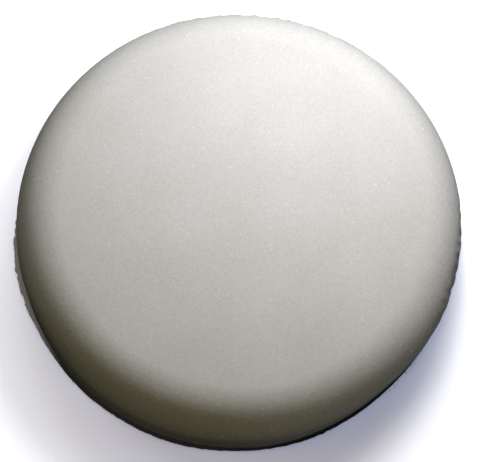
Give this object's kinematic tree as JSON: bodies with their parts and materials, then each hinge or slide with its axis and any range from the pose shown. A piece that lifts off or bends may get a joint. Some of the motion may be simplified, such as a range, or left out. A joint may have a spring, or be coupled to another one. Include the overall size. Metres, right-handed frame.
{
  "type": "polishing pad",
  "caption": "Round soft foam polishing pad with a plain flat working face, a wide rounded shoulder and a thin hook-and-loop backing cloth.",
  "frame": {"origin": "middle of the backing's lower side, at the tips of the loops, on the surface that the pad lies on", "axes": "+Z through the thickness, from the backing towards the working face; the pad is round about Z"},
  "size_m": [0.15, 0.15, 0.03],
  "materials": {
    "foam": "matte",
    "bonding_film": "satin",
    "ground_cloth": "matte",
    "loop_pile": "matte"
  },
  "bodies": {
    "root": {"foam_disc": "foam", "bonding_film": "bonding_film", "backing_ground_cloth": "ground_cloth", "backing_loop_pile": "loop_pile"}
  },
  "joints": []
}
